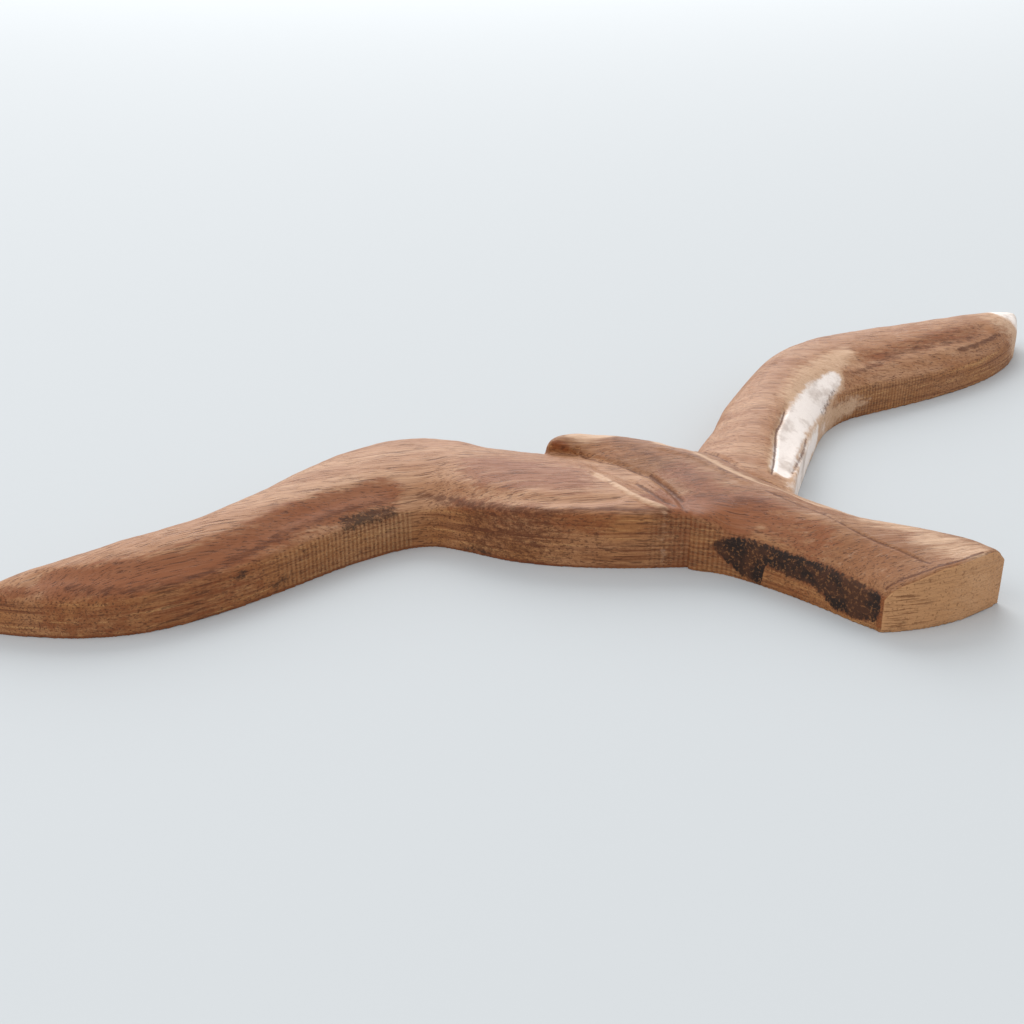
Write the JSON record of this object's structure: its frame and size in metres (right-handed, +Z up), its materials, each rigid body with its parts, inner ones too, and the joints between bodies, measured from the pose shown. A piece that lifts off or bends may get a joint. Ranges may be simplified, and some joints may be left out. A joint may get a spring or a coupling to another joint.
{
  "type": "carved bird boomerang",
  "caption": "Hand-carved wooden gull in the outline of a boomerang: swept wings butted and dowelled to a ridged body, flat on its back.",
  "frame": {"origin": "on the flat back, in the body between the two wing roots", "axes": "+X towards the right wing tip, +Y towards the head, +Z up from the flat back"},
  "size_m": [0.483, 0.188, 0.0249],
  "materials": {
    "wing_wood": "satin",
    "body_wood": "satin",
    "dowel_wood": "matt"
  },
  "bodies": {
    "root": {"body": "body_wood", "left_wing": "wing_wood", "right_wing": "wing_wood", "left_front_dowel": "dowel_wood", "left_rear_dowel": "dowel_wood", "right_front_dowel": "dowel_wood", "right_rear_dowel": "dowel_wood"}
  },
  "joints": []
}
